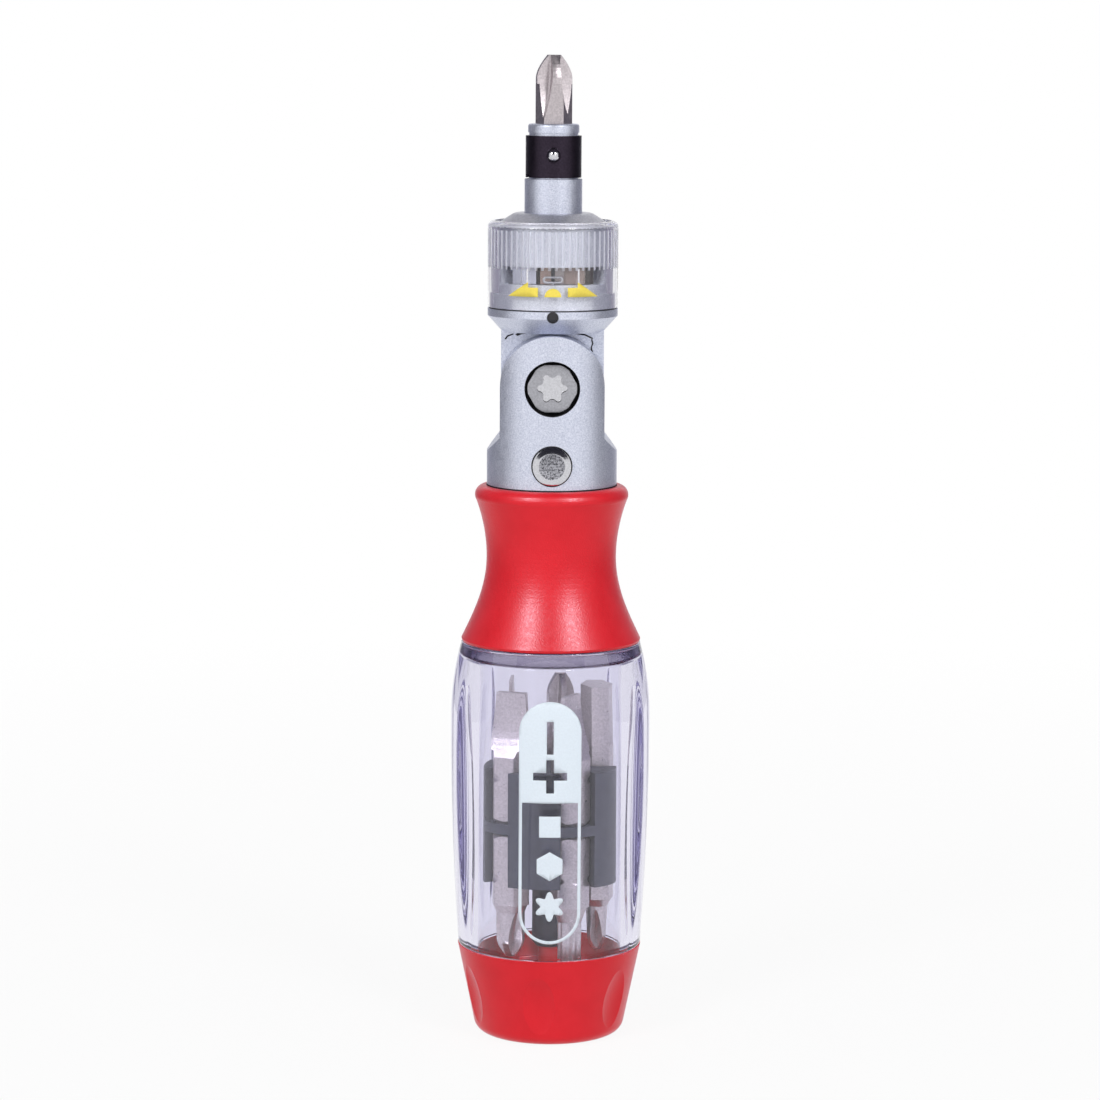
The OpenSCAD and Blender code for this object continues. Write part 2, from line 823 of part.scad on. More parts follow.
module pawl(side) {
    high = pocket_h - 2 * seat_gap;
    color(PAWL_STEEL)
        translate([side * pawl_pin_p[0], -pawl_pin_p[1], pocket_z + seat_gap])
            scale([side, -1, 1])
                difference() {
                    pawl_blank(high);
                    translate([0, 0, -1])
                        cylinder(r = pawl_pin_r + run_gap, h = high + 2);
                }
}

module pawl_left() {
    pawl(-1);
}

module pawl_right() {
    pawl(1);
}

module pawl_pins() {
    color(STEEL)
        for (side = [-1, 1])
            round_at(side * pawl_pin_turn, pawl_pin_at)
                disc(pawl_pin_r, pocket_z - 1.5, drum_top + 1.5);
}

// the small wire loop that shows between the pawls, with its foot in the pocket's floor
loop_at = 9.55;
loop_wire = 0.22;
loop_half = 1.2;
loop_end_r = 0.5;

module spring_foot(gap) {
    round_at(0, loop_at)
        disc(loop_wire + gap, pocket_z - 1, pocket_z + 0.6);
}

module pawl_spring() {
    loop_z = pocket_z + 1;
    color(STEEL) {
        spring_foot(0);
        translate([0, -loop_at, loop_z]) {
            for (side = [-1, 1]) {
                translate([-loop_half, 0, side * loop_end_r])
                    rotate([0, 90, 0])
                        cylinder(r = loop_wire, h = 2 * loop_half);
                translate([side * loop_half, 0, 0])
                    rotate([90, 0, 0])
                        rotate([0, 0, -side * 90])
                            rotate_extrude(angle = 180)
                                translate([loop_end_r, 0])
                                    circle(r = loop_wire, $fn = 24);
            }
        }
    }
}

// selector ring

module selector_ring() {
    bore = drum_r + seat_gap;
    foot_bore = guide_r + seat_gap;
    step_z = guide_top + seat_gap;
    round_c = [selector_r - selector_round, selector_top - selector_round];
    color(CLEAR)
        difference() {
            union() {
                rotate_extrude()
                    polygon(concat(
                        [[foot_bore, selector_z], [selector_r, selector_z]],
                        arc_points(round_c, selector_round, 0, 85, 10),
                        [[dome_r + 0.12, selector_top], [dome_r + 0.12, dome_z - 0.1]],
                        [[bore, dome_z - 0.1], [bore, step_z], [foot_bore, step_z]]
                    ));
                for (side = [-1, 1])
                    sector(side * cam_turn, 3)
                        translate([cam_r, pocket_z + 0.2])
                            square([selector_r - cam_r - 1.2, pocket_h - 0.4]);
            }
            for (i = [0:grooves - 1])
                round_at(360 * (i + 0.5) / grooves, selector_r + 0.12, selector_z + groove_at)
                    cylinder(r = 0.3, h = selector_h - groove_at - selector_round - 0.3, $fn = 24);
            for (turn = [-selector_turn, 0, selector_turn])
                round_at(180 + turn, guide_r - 0.3, detent_z)
                    sphere(r = 0.95);
        }
}

// spindle and chuck

module gear_outline() {
    polygon([for (i = [0:2 * teeth - 1])
        let (a = i * gap_turn, r = i % 2 == 0 ? gear_r : gap_r) r * [sin(a), -cos(a)]]);
}

module spindle() {
    journal_r = sleeve_r - 2.1;
    socket_r = hex_corner(socket_af);
    color(STEEL)
        difference() {
            union() {
                disc(journal_r, ring_z + 2.4, pocket_z + 1);
                translate([0, 0, pocket_z])
                    linear_extrude(pocket_h - seat_gap)
                        gear_outline();
                disc(sleeve_r, drum_top - 1, band_z - free_gap);
                disc(neck_under_band, band_z - 1, nose_z + 1);
                rotate_extrude()
                    polygon(concat(
                        [[0, nose_z], [nose_r, nose_z]],
                        arc_points([nose_r - 0.5, chuck_top - 0.5], 0.5, 0, 90, 5),
                        [[0, chuck_top]]
                    ));
            }
            translate([0, 0, socket_z])
                cylinder(r = socket_r, h = socket_h + 1, $fn = 6);
            disc(2.95, socket_z - 2.1, socket_z + 1);
            bar_y(ball_r + run_gap, -sleeve_r - 1, -1, hole_z);
        }
}

module retaining_band() {
    waist_at = band_r - 0.3;
    hole_waist = sqrt(pow(ball_r, 2) - pow(waist_at - ball_at, 2)) + run_gap;
    color(BLACK)
        difference() {
            disc(band_r, band_z, band_z + band_h, band_r - band_t);
            translate([0, -band_r - 0.04, hole_z])
                rotate([-90, 0, 0])
                    cylinder(r1 = band_hole_r, r2 = hole_waist, h = 0.36);
            translate([0, -band_r + 0.3, hole_z])
                rotate([-90, 0, 0])
                    cylinder(r1 = hole_waist, r2 = ball_r + 0.15, h = 0.5);
            round_at(205, band_r, band_z + band_h / 2)
                cube([1, 3, band_h + 1], center = true);
            round_at(-68, band_r, band_z)
                cube([1.6, 3, 1.2], center = true);
        }
}

module retaining_ball() {
    color(STEEL)
        translate([0, -ball_at, hole_z])
            sphere(r = ball_r);
}

module bit_magnet() {
    color(DARK_STEEL)
        disc(2.85, socket_z - 2, socket_z);
}

// bits, drawn with the end of the shank at the origin and the tip up

module shank(length) {
    difference() {
        intersection() {
            cylinder(r = hex_corner(bit_af), h = length, $fn = 6);
            rotate_extrude()
                polygon([[0, 0], [bit_af / 2 - 0.4, 0], [bit_r, 1.05], [bit_r, length], [0, length]]);
        }
        rotate_extrude()
            translate([bit_af / 2 + 1.2, bit_notch_at])
                circle(r = 1.15, $fn = 48);
    }
}

// four straight-sided wings: the flutes between them are deepest a little below the tip, and run out
// down the body
module cross_flutes(body_r, wing, runout) {
    flat = 0.2;
    deep = 2.2;
    core = wing / sqrt(2) + flat;
    bend = pow(runout - deep, 2) / (2 * (body_r - core));
    for (i = [0:3])
        rotate([0, 0, 45 + 90 * i])
            translate([bend + core, 0, bit_l - deep])
                rotate([90, 0, 0])
                    rotate_extrude($fn = 180)
                        polygon([[bend, -flat], [bend, flat], [bend - 5, 5 + flat], [bend - 5, -5 - flat]]);
}

// turn is the angle of one wing from the front
module cross_bit(body_r, hex_l, tip_r, wing, runout, turn = 0) {
    nose = (body_r - tip_r) * 1.95;
    ogive = [for (i = [0:7])
        [body_r - (body_r - tip_r) * pow(i / 7, 1.6), bit_l - nose + nose * i / 7]];
    difference() {
        union() {
            shank(hex_l);
            rotate_extrude()
                polygon(concat([[0, hex_l - 1], [body_r, hex_l - 1]], ogive, [[0, bit_l]]));
            if (body_r < bit_af / 2)
                translate([0, 0, hex_l - 0.01])
                    cylinder(r1 = bit_af / 2, r2 = body_r, h = 1.6);
        }
        rotate([0, 0, turn])
            cross_flutes(body_r, wing, runout);
    }
}

// a flat blade with hollow-ground faces
module slot_bit(width, thick) {
    grind = 22;
    rise = bit_l - shank_l;
    hollow = arc_points([grind + thick / 2, bit_l - 1.5], grind, 180, 216, 10);
    out = [10, hollow[10][1]];
    difference() {
        union() {
            shank(shank_l);
            translate([0, 0, shank_l - 0.01])
                cylinder(r1 = bit_r, r2 = width / 2, h = rise + 0.01);
        }
        for (side = [-1, 1])
            scale([1, side, 1])
                rotate([90, 0, 90])
                    linear_extrude(20, center = true)
                        polygon(concat([[10, bit_l + 1], [thick / 2, bit_l + 1]], hollow, [out]));
    }
}

module hex_bit(af) {
    shank(shank_l);
    if (af < bit_af)
        translate([0, 0, shank_l - 0.01])
            cylinder(r1 = bit_af / 2, r2 = af / 2, h = 2);
    translate([0, 0, shank_l - 1])
        cylinder(r = hex_corner(af), h = bit_l - shank_l + 1, $fn = 6);
}

module star_bit(reach) {
    shank(shank_l);
    translate([0, 0, shank_l - 0.01])
        cylinder(r1 = bit_af / 2, r2 = reach, h = 3);
    translate([0, 0, shank_l + 1])
        linear_extrude(bit_l - shank_l - 1)
            star_outline(reach);
}

// the drawer of bits

module bit_carrier() {
    low = web_z - pocket_depth;
    high = layer_top + pocket_depth;
    clear = bit_r + 0.18;
    color(SLATE)
        difference() {
            union() {
                disc(rib_r, low, high);
                disc(stem_r, stem_z + 1, low + 1);
                translate([0, 0, stem_z])
                    cylinder(r1 = stem_r - 0.8, r2 = stem_r, h = 1);
            }
            for (i = [0:pockets - 1], layer = [low - 1, layer_top])
                round_at(first_bit + bit_step * i, bit_ring, layer) {
                    cylinder(r = clear, h = pocket_depth + 1);
                    translate([-bit_af / 2 - 0.15, -10, 0])
                        cube([bit_af + 0.3, 10, pocket_depth + 1]);
                }
            disc(post_r + seat_gap, stem_z - 1, post_h + free_gap);
        }
}

// a bit in the upper or the lower layer, turned so that a corner of its shank points outwards
module stored(i, up) {
    color(BIT_STEEL)
        round_at(first_bit + bit_step * i, bit_ring, up ? layer_top : web_z)
            rotate([up ? 0 : 180, 0, 30])
                children();
}

module bit_slot_wide() {
    stored(0, true)
        slot_bit(bit_af * 0.92, bit_af * 0.175);
}

module bit_slot_medium() {
    stored(1, true)
        slot_bit(bit_af * 0.794, bit_af * 0.143);
}

module bit_hex_large() {
    stored(2, true)
        hex_bit(bit_af * 0.952);
}

module bit_cross_large() {
    stored(3, true)
        cross_bit(bit_af * 0.476, shank_l, 1.1, 1.3, 10);
}

module bit_slot_narrow() {
    stored(4, true)
        slot_bit(bit_af * 0.667, bit_af * 0.111);
}

module bit_cross_medium() {
    stored(0, false)
        cross_bit(bit_af * 0.413, shank_l, 0.9, 1.1, 9.2);
}

module bit_star_large() {
    stored(1, false)
        star_bit(bit_af * 0.35);
}

module bit_cross_small() {
    stored(2, false)
        cross_bit(bit_af * 0.349, shank_l, 0.65, 0.9, 8.4);
}

module bit_hex_small() {
    stored(3, false)
        hex_bit(bit_af * 0.635);
}

module bit_star_small() {
    stored(4, false)
        star_bit(bit_af * 0.27);
}

module fitted_bit() {
    color(BIT_STEEL)
        translate([0, 0, bit_z])
            cross_bit(bit_r, bit_l - 4.6, 1.35, 1.55, 12.6, 10);
}

handle_body();
collar();
fork();
pivot_screw();
pivot_washers();
button_spring();
end_cap();
bit_carrier();
bit_slot_wide();
bit_slot_medium();
bit_hex_large();
bit_cross_large();
bit_slot_narrow();
bit_cross_medium();
bit_star_large();
bit_cross_small();
bit_hex_small();
bit_star_small();
lock_button();
lock_bolt();
bolt_pin();
ratchet_housing();
dome_cover();
spindle_bush();
thrust_washer();
index_plug();
detent_ball();
detent_spring();
pawl_pins();
pawl_spring();
selector_ring();
pawl_left();
pawl_right();
spindle();
retaining_band();
retaining_ball();
bit_magnet();
fitted_bit();
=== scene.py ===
import math

import bmesh
import bpy
from mathutils import Euler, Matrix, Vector


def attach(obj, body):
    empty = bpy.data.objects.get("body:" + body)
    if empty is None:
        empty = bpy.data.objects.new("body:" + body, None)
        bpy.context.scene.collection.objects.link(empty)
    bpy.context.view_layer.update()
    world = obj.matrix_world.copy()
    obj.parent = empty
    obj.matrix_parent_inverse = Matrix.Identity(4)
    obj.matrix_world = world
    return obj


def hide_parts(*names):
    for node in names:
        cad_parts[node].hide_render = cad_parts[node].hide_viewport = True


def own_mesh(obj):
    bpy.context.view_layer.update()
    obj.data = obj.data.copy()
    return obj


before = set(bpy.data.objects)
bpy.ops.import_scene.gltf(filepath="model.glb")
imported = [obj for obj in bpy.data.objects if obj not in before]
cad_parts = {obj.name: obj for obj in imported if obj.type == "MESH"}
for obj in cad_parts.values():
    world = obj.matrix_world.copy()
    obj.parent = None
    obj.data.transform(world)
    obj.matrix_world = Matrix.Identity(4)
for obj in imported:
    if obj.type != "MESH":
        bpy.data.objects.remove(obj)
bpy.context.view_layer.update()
scene = bpy.context.scene
MM = 0.001

# camera: a long lens a little above the tip, looking down on the tool standing upright
PHOTO_PX = 1100
FOCAL_PX = 3880
SENSOR = 36
CAMERA_AWAY = 760 * MM
CAMERA_ASIDE = -0.86 * MM
CAMERA_HEIGHT = 201.2 * MM
CAMERA_PITCH = math.radians(7.81)
CAMERA_ROLL = math.radians(-0.33)

camera = bpy.data.objects.new("camera", bpy.data.cameras.new("camera"))
scene.collection.objects.link(camera)
camera.data.sensor_width = SENSOR
camera.data.lens = SENSOR * FOCAL_PX / PHOTO_PX
camera.data.clip_start = 0.05
camera.data.clip_end = 20
camera.location = (CAMERA_ASIDE, -CAMERA_AWAY, CAMERA_HEIGHT)
camera.rotation_euler = Euler((math.pi / 2 - CAMERA_PITCH, CAMERA_ROLL, 0), "XYZ")
scene.camera = camera


# lights and backdrop

def any_ray(nodes, links, *kinds):
    """An output that is 1 for a ray of one of these kinds, else 0."""
    path = nodes.new("ShaderNodeLightPath")
    total = path.outputs[kinds[0]]
    for kind in kinds[1:]:
        plus = nodes.new("ShaderNodeMath")
        plus.operation = "ADD"
        plus.use_clamp = True
        links.new(total, plus.inputs[0])
        links.new(path.outputs[kind], plus.inputs[1])
        total = plus.outputs[0]
    return total


def graded(nodes, links, value, low, high, at_low, at_high):
    """An output that runs from at_low to at_high while value runs from low to high."""
    node = nodes.new("ShaderNodeMapRange")
    node.inputs["From Min"].default_value = low
    node.inputs["From Max"].default_value = high
    node.inputs["To Min"].default_value = at_low
    node.inputs["To Max"].default_value = at_high
    links.new(value, node.inputs["Value"])
    return node.outputs["Result"]


def product(nodes, links, a, b):
    node = nodes.new("ShaderNodeMath")
    node.operation = "MULTIPLY"
    links.new(a, node.inputs[0])
    links.new(b, node.inputs[1])
    return node.outputs[0]


def area_light(name, place, target, size, power, colour=(1, 1, 1)):
    data = bpy.data.lights.new(name, "AREA")
    data.shape = "RECTANGLE"
    data.size, data.size_y = size
    data.energy = power
    data.color = colour
    lamp = bpy.data.objects.new(name, data)
    lamp.location = place
    aim = Vector(target) - Vector(place)
    lamp.rotation_euler = aim.to_track_quat("-Z", "Y").to_euler()
    scene.collection.objects.link(lamp)
    return lamp


TARGET = (0, 0, 0.1)
KEY_SIZE, KEY_POWER = (0.17, 0.34), 2.85
SHEEN_SIZE, SHEEN_POWER, SHEEN_COLOUR = (0.2, 0.24), 9.5, (0.86, 0.84, 1)
keys = [area_light("key_left", (-0.41, -0.58, 0.6), TARGET, KEY_SIZE, KEY_POWER),
        area_light("key_right", (0.39, -0.58, 0.6), TARGET, KEY_SIZE, KEY_POWER)]

# the keys leave the chrome button and the stored bits to the screens and the backdrop, and a wider
# pair gives the red plastic its sheen
unlit_parts = bpy.data.collections.new("unlit_parts")
for name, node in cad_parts.items():
    if name == "lock_button" or (name.startswith("bit_") and name != "bit_carrier"):
        unlit_parts.objects.link(node)
for entry in unlit_parts.collection_objects:
    entry.light_linking.link_state = "EXCLUDE"
sheen_parts = bpy.data.collections.new("sheen_parts")
for name in ("collar", "end_cap"):
    sheen_parts.objects.link(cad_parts[name])
for key in keys:
    key.light_linking.receiver_collection = unlit_parts
for aside in (-0.42, 0.4):
    sheen = area_light("sheen", (aside, -0.6, 0.56), TARGET, SHEEN_SIZE, SHEEN_POWER, SHEEN_COLOUR)
    sheen.visible_diffuse = False
    sheen.light_linking.receiver_collection = sheen_parts

# light may bounce about inside the thick clear plastic before it leaves
scene.cycles.max_bounces = 32
scene.cycles.glossy_bounces = 24
scene.cycles.transmission_bounces = 24

scene.view_settings.view_transform = "Standard"
world = bpy.data.worlds.new("studio")
scene.world = world
world.use_nodes = True
wn, wl = world.node_tree.nodes, world.node_tree.links
wn.clear()
seen = wn.new("ShaderNodeBackground")
seen.inputs["Color"].default_value = (1, 1, 1, 1)
seen.inputs["Strength"].default_value = 1.0
lit = wn.new("ShaderNodeBackground")
lit.inputs["Color"].default_value = (0.96, 0.97, 1, 1)
wcoord = wn.new("ShaderNodeTexCoord")
wsplit = wn.new("ShaderNodeSeparateXYZ")
wl.new(wcoord.outputs["Generated"], wsplit.inputs[0])
# the light falls off overhead, and the floor stands for what would come from below
overhead = graded(wn, wl, wsplit.outputs["Z"], 0.15, 0.85, 0.52, 0.16)
above_floor = wn.new("ShaderNodeMath")
above_floor.operation = "GREATER_THAN"
above_floor.inputs[1].default_value = 0
wl.new(wsplit.outputs["Z"], above_floor.inputs[0])
wl.new(product(wn, wl, overhead, above_floor.outputs[0]), lit.inputs["Strength"])
mix = wn.new("ShaderNodeMixShader")
out = wn.new("ShaderNodeOutputWorld")
wl.new(any_ray(wn, wl, "Is Camera Ray", "Is Transmission Ray", "Is Glossy Ray"), mix.inputs[0])
wl.new(lit.outputs[0], mix.inputs[1])
wl.new(seen.outputs[0], mix.inputs[2])
wl.new(mix.outputs[0], out.inputs["Surface"])


# materials

def srgb(r, g, b):
    def lin(c):
        c /= 255
        return c / 12.92 if c <= 0.04045 else ((c + 0.055) / 1.055) ** 2.4
    return (lin(r), lin(g), lin(b), 1)


class Paint:
    """A Principled material with its node tree at hand."""

    def __init__(self, name, colour, rough, metal=0.0, **sockets):
        self.mat = bpy.data.materials.new(name)
        self.mat.use_nodes = True
        self.nodes = self.mat.node_tree.nodes
        self.links = self.mat.node_tree.links
        self.bsdf = self.nodes["Principled BSDF"]
        self.coords = self.nodes.new("ShaderNodeTexCoord")
        self.put("Base Color", colour)
        self.put("Roughness", rough)
        self.put("Metallic", metal)
        for key, value in sockets.items():
            self.put(key.replace("_", " "), value)

    def put(self, socket, value):
        self.bsdf.inputs[socket].default_value = value

    def link(self, a, b):
        self.links.new(a, b)

    def noise(self, scale, detail, rough=0.55):
        tex = self.nodes.new("ShaderNodeTexNoise")
        tex.inputs["Scale"].default_value = scale
        tex.inputs["Detail"].default_value = detail
        tex.inputs["Roughness"].default_value = rough
        self.link(self.coords.outputs["Object"], tex.inputs["Vector"])
        return tex.outputs["Fac"]

    def ramp(self, fac, stops, blend="LINEAR"):
        node = self.nodes.new("ShaderNodeValToRGB")
        node.color_ramp.interpolation = blend
        els = node.color_ramp.elements
        while len(els) < len(stops):
            els.new(0.5)
        for el, (place, colour) in zip(els, stops):
            el.position = place
            el.color = colour
        self.link(fac, node.inputs["Fac"])
        return node.outputs["Color"]

    def tint(self, fac, dark, light, low=0.35, high=0.65):
        colour = self.ramp(fac, [(low, dark), (high, light)])
        self.link(colour, self.bsdf.inputs["Base Color"])

    def rough(self, fac, low, high):
        value = graded(self.nodes, self.links, fac, 0.3, 0.7, low, high)
        self.link(value, self.bsdf.inputs["Roughness"])

    def bump(self, fac, depth, strength):
        node = self.nodes.new("ShaderNodeBump")
        node.inputs["Distance"].default_value = depth
        node.inputs["Strength"].default_value = strength
        self.link(fac, node.inputs["Height"])
        self.link(node.outputs["Normal"], self.bsdf.inputs["Normal"])


def shades(colour, spread):
    """A darker and a lighter shade of a colour."""
    return [tuple(min(1, c * share) for c in colour[:3]) + (1,) for share in (1 - spread, 1 + spread)]


def satin_silver(name, dark, light):
    p = Paint(name, light, 0.4, 0.75)
    grain = p.noise(3600, 2.5)
    p.tint(grain, dark, light, 0.3, 0.7)
    p.rough(p.noise(900, 2), 0.33, 0.45)
    p.bump(grain, 0.00007, 0.7)
    return p


def red_satin():
    p = Paint("red_satin", srgb(223, 28, 41), 0.4)
    cloud = p.noise(160, 3)
    p.tint(cloud, srgb(220, 26, 39), srgb(226, 30, 43))
    p.rough(p.noise(1400, 2), 0.31, 0.41)
    p.bump(p.noise(3600, 1), 0.00006, 0.55)
    p.put("Specular IOR Level", 0.26)
    p.put("Sheen Weight", 0.34)
    p.put("Sheen Roughness", 0.35)
    p.put("Sheen Tint", (1, 0.72, 0.88, 1))
    return p


def clear(name, tint, density):
    p = Paint(name, tint, 0.015, IOR=1.5, Transmission_Weight=1.0)
    body = p.nodes.new("ShaderNodeVolumeAbsorption")
    body.inputs["Color"].default_value = srgb(194, 188, 224)
    body.inputs["Density"].default_value = density
    p.link(body.outputs[0], p.nodes["Material Output"].inputs["Volume"])
    return p


def steel(name, colour, rough, spread=0.12, metal=1.0):
    p = Paint(name, colour, rough, metal)
    fine = p.noise(2600, 2)
    p.tint(fine, *shades(colour, spread))
    p.rough(p.noise(700, 3), rough * 0.85, rough * 1.2)
    p.bump(fine, 0.00002, 0.5)
    return p


def plastic(name, colour, rough, bump=0.00003, spread=0.12):
    p = Paint(name, colour, rough)
    fine = p.noise(3000, 2)
    p.tint(fine, *shades(colour, spread))
    p.rough(p.noise(500, 3), rough * 0.88, rough * 1.15)
    p.bump(fine, bump, 0.5)
    return p


def banded(name, bands):
    """Steel in colour bands across the front, each from a place in millimetres on."""
    rough = 0.4
    p = Paint(name, srgb(150, 140, 136), rough, 1.0)
    split = p.nodes.new("ShaderNodeSeparateXYZ")
    p.link(p.coords.outputs["Object"], split.inputs[0])
    reach = 10
    across = graded(p.nodes, p.links, split.outputs["X"], -reach * MM, reach * MM, 0, 1)
    colour = p.ramp(across, [((x + reach) / (2 * reach), srgb(*c)) for x, c in bands], "CONSTANT")
    p.link(colour, p.bsdf.inputs["Base Color"])
    p.rough(p.noise(700, 3), rough * 0.85, rough * 1.2)
    p.bump(p.noise(2600, 2), 0.00003, 0.5)
    return p


def grained_face():
    p = Paint("grained_face", srgb(150, 150, 158), 0.34, 1.0)
    pits = p.noise(2600, 4, rough=0.7)
    p.tint(pits, srgb(70, 70, 76), srgb(196, 196, 204), 0.38, 0.6)
    p.bump(pits, 0.0001, 0.8)
    return p


SILVER = satin_silver("satin_silver", srgb(186, 191, 209), srgb(223, 226, 239)).mat
# painted shade: a darker copy of the satin silver for the drum and the dome's skirt behind the clear
# ring
SHADED_DRUM_SILVER = satin_silver("shaded_drum_silver", srgb(174, 177, 188), srgb(206, 208, 215)).mat
RED = red_satin().mat
CLEAR = clear("clear_handle", srgb(239, 238, 248), 16).mat
CLEAR_RING = clear("clear_ring", srgb(250, 250, 252), 4).mat
BITS = steel("bit_steel", srgb(192, 184, 187), 0.38).mat
STORED = steel("stored_steel", srgb(212, 205, 203), 0.32, metal=0.9).mat
DOME = steel("dome_grey", srgb(200, 200, 208), 0.45).mat
# bright steel for the chrome button and the balls, and painted highlights on the pivot screw
BRIGHT_STEEL_AND_HIGHLIGHT = steel("bright_steel_and_highlight", srgb(205, 205, 210), 0.14, spread=0.06).mat
SCREW = steel("screw_steel", srgb(168, 168, 174), 0.36).mat
# the pawls in bands as they show in the window: the black band of the left pawl and the dark last band
# of the right pawl are painted shade at the window's edges
PAWL_LEFT = banded("pawl_left", [(-9, (176, 178, 192)), (-3.2, (34, 32, 34)),
                                 (-2.4, (158, 138, 130))]).mat
PAWL_RIGHT = banded("pawl_right", [(-9, (158, 150, 150)), (2, (134, 120, 116)),
                                   (5.8, (66, 60, 60))]).mat
BRONZE = steel("bronze", srgb(190, 150, 90), 0.4).mat
BAND = steel("black_band", srgb(52, 45, 56), 0.4).mat
SLATE = plastic("slate_plastic", srgb(64, 66, 76), 0.55).mat
# painted shade: a near-black that stands for shade in the recess, the socket, the gaps between parts
# and at the tongue
SHADOW = plastic("painted_shade_black", srgb(30, 29, 34), 0.7).mat
GRAINED = grained_face().mat
BLACK = plastic("black_plug", srgb(34, 33, 38), 0.45).mat
LABEL = plastic("label_white", srgb(228, 238, 247), 0.4, bump=0.00001, spread=0.02).mat
# painted highlight: a whiter, half-clear face that stands for the light lines along the ring's ribs
RIB_HIGHLIGHT = Paint("rib_highlight_clear", srgb(236, 237, 246), 0.3, IOR=1.5, Transmission_Weight=0.7).mat
JOINT = steel("joint_face", srgb(166, 156, 176), 0.2, metal=0.85).mat
YELLOW = plastic("print_yellow", srgb(243, 221, 88), 0.5, bump=0.00001, spread=0.04).mat

LOOK = {
    "handle_body": CLEAR, "selector_ring": CLEAR_RING, "collar": RED, "end_cap": RED,
    "fork": SILVER, "ratchet_housing": SILVER, "spindle": SILVER, "dome_cover": DOME,
    "pivot_screw": SCREW, "lock_button": BRIGHT_STEEL_AND_HIGHLIGHT, "retaining_ball": BRIGHT_STEEL_AND_HIGHLIGHT, "detent_ball": BRIGHT_STEEL_AND_HIGHLIGHT,
    "retaining_band": BAND, "index_plug": BLACK, "bit_carrier": SLATE,
    "fitted_bit": BITS, "pawl_left": PAWL_LEFT, "pawl_right": PAWL_RIGHT,
    "pivot_washers": BRONZE, "spindle_bush": BRONZE,
}
SOLID_SHARP, PIECE_SHARP = math.radians(32), math.radians(35)
for name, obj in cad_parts.items():
    look = LOOK.get(name, STORED if name.startswith("bit_") else SCREW)
    obj.data.materials.clear()
    obj.data.materials.append(look)
    obj.data.shade_smooth()
    obj.data.set_sharp_from_angle(angle=SOLID_SHARP)


def second_look(name, look, wanted):
    """Give a second material to the faces of a solid for which wanted(centre in mm, normal) is true."""
    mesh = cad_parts[name].data
    mesh.materials.append(look)
    for face in mesh.polygons:
        if wanted(face.center / MM, face.normal):
            face.material_index = len(mesh.materials) - 1


# the pivot screw's recess and socket, the button's face, the drum and the ring's ribs, in millimetres
PIVOT_Z, RECESS_R, SOCKET_R = 130.0, 5.4, 3.0
FRONT_Y, SOCKET_Y, HEAD_Y, BUTTON_FACE_Y = -6, -8.5, -11.05, -13
DRUM_FOOT_Z, GROOVE_FOOT_Z, COVER_EDGE_Z = 145.0, 152.9, 160.85
RIB_LOW_R, RIB_HIGH_R = 12.2, 12.73


def from_pivot(c):
    return math.hypot(c.x, c.z - PIVOT_Z)


# painted shade: the floor and wall of the fork's recess round the pivot screw's head are dark
second_look("fork", SHADOW, lambda c, n: c.y < FRONT_Y and from_pivot(c) < RECESS_R + 0.05
            and (n.y < -0.9 or math.hypot(n.x, n.z) > 0.9))
# painted shade on the walls of the screw's star socket, and a painted highlight on its floor
second_look("pivot_screw", SHADOW, lambda c, n: c.y < SOCKET_Y and abs(n.y) < 0.5
            and from_pivot(c) < SOCKET_R)
second_look("pivot_screw", BRIGHT_STEEL_AND_HIGHLIGHT, lambda c, n: HEAD_Y < c.y < SOCKET_Y and n.y < -0.9)
# painted highlight: the grooves between the ring's ribs take the whiter clear as light lines
second_look("selector_ring", RIB_HIGHLIGHT, lambda c, n: c.z > GROOVE_FOOT_Z and abs(n.z) < 0.5
            and RIB_LOW_R < math.hypot(c.x, c.y) < RIB_HIGH_R)
second_look("lock_button", GRAINED, lambda c, n: c.y < BUTTON_FACE_Y and n.y < -0.95)
# painted shade: the drum and the dome's skirt behind the clear ring take the darker silver
second_look("ratchet_housing", SHADED_DRUM_SILVER, lambda c, n: c.z > DRUM_FOOT_Z)
second_look("dome_cover", SHADED_DRUM_SILVER, lambda c, n: c.z < COVER_EDGE_Z)


def soften(name, width, angle=25, slot=-1):
    """Round the sharp edges of a solid. slot says which of its materials they get."""
    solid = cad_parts[name]
    solid.modifiers.new("joined_edges", "WELD").merge_threshold = 0.002 * MM
    edge = solid.modifiers.new("soft_edges", "BEVEL")
    edge.width = width * MM
    edge.segments = 3
    edge.limit_method = "ANGLE"
    edge.angle_limit = math.radians(angle)
    edge.harden_normals = True
    edge.material = slot


soften("lock_button", 0.28)
# the pivot screw's rounded edges take the bright steel, its third material, as a painted highlight
soften("pivot_screw", 0.16, 40, 2)


# pieces made here

def shown(name, mesh, body, look, replaces=()):
    """A finished mesh as a piece that rides on a body."""
    mesh.materials.append(look)
    mesh.shade_smooth()
    mesh.set_sharp_from_angle(angle=PIECE_SHARP)
    obj = bpy.data.objects.new(name, mesh)
    scene.collection.objects.link(obj)
    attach(obj, body)
    if replaces:
        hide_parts(*replaces)
    return obj


def place(a, r, z):
    """The point at angle a from the front, in millimetres, in metres."""
    return (r * math.sin(a) * MM, -r * math.cos(a) * MM, z * MM)


